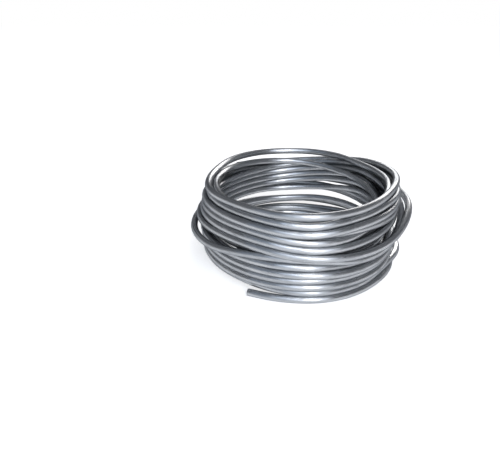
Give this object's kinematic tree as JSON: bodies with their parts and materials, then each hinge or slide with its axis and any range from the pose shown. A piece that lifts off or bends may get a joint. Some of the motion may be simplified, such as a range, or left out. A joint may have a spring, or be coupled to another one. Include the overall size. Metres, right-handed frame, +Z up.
{
  "type": "coil of aluminium wire",
  "caption": "Loose coil of heavy bare aluminium wire lying flat, with an open bore, slack turns off the stack and a free cut end.",
  "frame": {"origin": "on the coil's axis, at the level of the floor it lies on", "axes": "+Z up along the coil's axis, -Y towards the side that the picture shows, where the free end lies"},
  "size_m": [0.134, 0.1184, 0.0509],
  "materials": {
    "bright_aluminium": "bright drawn"
  },
  "bodies": {
    "root": {"wire_coil": "bright_aluminium"}
  },
  "joints": []
}
